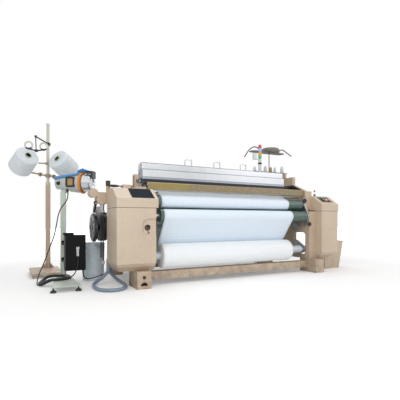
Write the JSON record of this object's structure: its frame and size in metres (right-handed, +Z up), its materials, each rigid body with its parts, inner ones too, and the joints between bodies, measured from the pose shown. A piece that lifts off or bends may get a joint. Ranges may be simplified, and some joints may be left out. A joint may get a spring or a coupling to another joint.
{
  "type": "power loom",
  "caption": "Water-jet power loom with side covers, cloth roll, heald frames, warp beam, weft feeder and yarn stand.",
  "frame": {"origin": "middle of the left front foot's sole, on the floor", "axes": "+X to the right along the loom as the weaver sees it, +Y from the weaver to the warp beam, +Z up"},
  "size_m": [4.4689, 1.9597, 2.04],
  "materials": {
    "frame_paint": "satin",
    "ochre_paint": "gloss",
    "cover_paint": "satin",
    "panel_glass": "gloss",
    "grey_iron": "satin",
    "roller_rubber": "satin",
    "steel": "satin",
    "cloth": "matte",
    "stainless": "satin",
    "alloy": "satin",
    "black_iron": "satin",
    "motor_paint": "satin",
    "belt_rubber": "matte",
    "black_paint": "satin",
    "red_plastic": "gloss",
    "yarn": "matte",
    "lamp_plastic": "gloss",
    "pale_green_paint": "satin",
    "black_plastic": "matte",
    "blue_plastic": "gloss",
    "orange_plastic": "gloss",
    "grey_plastic": "matte",
    "feeder_grey": "satin",
    "cable_rubber": "matte",
    "hose_plastic": "satin",
    "green_plastic": "gloss",
    "white_plastic": "gloss"
  },
  "bodies": {
    "machine": {"side_frame_left": "frame_paint", "side_frame_right": "frame_paint", "tie_beams": "frame_paint", "floor_feet": "frame_paint", "breast_beam": "ochre_paint", "left_cover": "cover_paint", "left_console": "cover_paint", "touch_panel": "panel_glass", "right_cover": "cover_paint", "right_console": "cover_paint", "roller_brackets": "grey_iron", "cloth_sheet": "cloth", "water_tray": "stainless", "harness_beam": "alloy", "motor": "motor_paint", "drive_belt": "belt_rubber", "belt_guard": "black_paint", "water_jet_pump": "frame_paint", "warp_sheet": "yarn", "signal_pole": "alloy", "signal_lamps": "lamp_plastic", "selvage_stand": "grey_iron", "selvage_spools": "yarn", "creel_stand": "frame_paint", "creel_mast": "frame_paint", "creel_arms": "frame_paint", "yarn_packages": "yarn", "yarn_guide": "frame_paint", "feeder_stand": "pale_green_paint", "feeder_feet": "black_plastic", "feeder_body": "feeder_grey", "feeder_cover": "blue_plastic", "control_box": "black_paint", "bucket": "grey_plastic", "waste_bin": "cover_paint", "cable_coil": "cable_rubber", "feeder_cable": "cable_rubber", "box_cable": "cable_rubber", "power_cable": "cable_rubber", "drain_hose": "hose_plastic"},
    "drive_shaft": {"main_shaft": "black_iron"},
    "motor_rotor": {"motor_pulley": "steel"},
    "sley": {"sley": "alloy", "reed": "stainless"},
    "front_heald_frames": {"heald_frames_front": "alloy"},
    "rear_heald_frames": {"heald_frames_rear": "alloy"},
    "surface_roller": {"surface_roller": "roller_rubber"},
    "upper_press_roller": {"press_roller_upper": "roller_rubber"},
    "lower_press_roller": {"press_roller_lower": "roller_rubber"},
    "takeup_pinion": {"takeup_gear": "steel"},
    "cloth_roll": {"cloth_roll": "cloth"},
    "warp_beam": {"warp_beam": "yarn"},
    "backrest": {"backrest": "stainless"},
    "clutch_lever": {"hand_lever": "black_iron"},
    "stop_lever": {"stop_lever": "red_plastic"},
    "green_button": {"button_green": "green_plastic"},
    "red_button": {"button_red": "red_plastic"},
    "white_button": {"button_white": "white_plastic"},
    "orange_button": {"button_orange": "orange_plastic"},
    "winding_ring": {"feeder_flyer": "orange_plastic"}
  },
  "joints": [
    {"name": "main_shaft_turn", "type": "hinge", "parent": "machine", "child": "drive_shaft", "pos_m": [2.105, 0.49, 0.63], "axis": [1, 0, 0], "continuous": true},
    {"name": "motor_turn", "type": "hinge", "parent": "machine", "child": "motor_rotor", "pos_m": [0.125, 0.73, 0.8], "axis": [1, 0, 0], "continuous": true},
    {"name": "surface_roller_turn", "type": "hinge", "parent": "machine", "child": "surface_roller", "pos_m": [1.245, 0.15335, 0.78562], "axis": [1, 0, 0], "continuous": true},
    {"name": "upper_press_roller_turn", "type": "hinge", "parent": "machine", "child": "upper_press_roller", "pos_m": [1.245, 0.072, 0.922], "axis": [1, 0, 0], "continuous": true},
    {"name": "lower_press_roller_turn", "type": "hinge", "parent": "machine", "child": "lower_press_roller", "pos_m": [1.245, -0.007, 0.764], "axis": [1, 0, 0], "continuous": true},
    {"name": "takeup_pinion_turn", "type": "hinge", "parent": "machine", "child": "takeup_pinion", "pos_m": [2.355, 0.15335, 0.62562], "axis": [1, 0, 0], "continuous": true},
    {"name": "cloth_roll_turn", "type": "hinge", "parent": "machine", "child": "cloth_roll", "pos_m": [1.245, 0.06, 0.314], "axis": [1, 0, 0], "continuous": true},
    {"name": "warp_beam_turn", "type": "hinge", "parent": "machine", "child": "warp_beam", "pos_m": [1.245, 1.27, 0.56], "axis": [1, 0, 0], "continuous": true},
    {"name": "sley_rock", "type": "hinge", "parent": "machine", "child": "sley", "pos_m": [1.245, 0.3, 0.65], "axis": [1, 0, 0], "range_deg": [0, 8]},
    {"name": "front_heald_frames_lift", "type": "slide", "parent": "machine", "child": "front_heald_frames", "axis": [0, 0, 1], "range_m": [0, 0.08]},
    {"name": "rear_heald_frames_lift", "type": "slide", "parent": "machine", "child": "rear_heald_frames", "axis": [0, 0, 1], "range_m": [-0.08, 0]},
    {"name": "backrest_rock", "type": "hinge", "parent": "machine", "child": "backrest", "pos_m": [1.245, 1.15, 0.9], "axis": [1, 0, 0], "range_deg": [-4, 4], "stiffness_Nm_per_rad": 2500, "deforming": ["warp_sheet"]},
    {"name": "clutch_lever_turn", "type": "hinge", "parent": "machine", "child": "clutch_lever", "pos_m": [-0.115, 0.2, 1.086], "axis": [0, 1, 0], "range_deg": [0, 30]},
    {"name": "stop_lever_tilt", "type": "hinge", "parent": "machine", "child": "stop_lever", "pos_m": [2.585, 0.04, 1.072], "axis": [1, 0, 0], "range_deg": [-12, 12]},
    {"name": "green_button_press", "type": "slide", "parent": "machine", "child": "green_button", "axis": [0, 0.545, -0.8384], "range_m": [0, 0.004], "stiffness_N_per_m": 300},
    {"name": "red_button_press", "type": "slide", "parent": "machine", "child": "red_button", "axis": [0, 0.545, -0.8384], "range_m": [0, 0.004], "stiffness_N_per_m": 300},
    {"name": "white_button_press", "type": "slide", "parent": "machine", "child": "white_button", "axis": [0, 0.545, -0.8384], "range_m": [0, 0.004], "stiffness_N_per_m": 300},
    {"name": "orange_button_press", "type": "slide", "parent": "machine", "child": "orange_button", "axis": [0, 0.545, -0.8384], "range_m": [0, 0.004], "stiffness_N_per_m": 300},
    {"name": "winding_ring_turn", "type": "hinge", "parent": "machine", "child": "winding_ring", "pos_m": [-0.46103, 0.74518, 1.156], "axis": [0.8192, -0.5736, 0], "continuous": true}
  ],
  "couplings": [
    {"joint": "motor_turn", "follows": "main_shaft_turn", "ratio": 2.3636},
    {"joint": "upper_press_roller_turn", "follows": "surface_roller_turn", "ratio": -1.3433},
    {"joint": "lower_press_roller_turn", "follows": "surface_roller_turn", "ratio": -1.2857},
    {"joint": "takeup_pinion_turn", "follows": "surface_roller_turn", "ratio": -1.6667},
    {"joint": "cloth_roll_turn", "follows": "surface_roller_turn", "ratio": 0.65693},
    {"joint": "rear_heald_frames_lift", "follows": "front_heald_frames_lift", "ratio": -1}
  ]
}
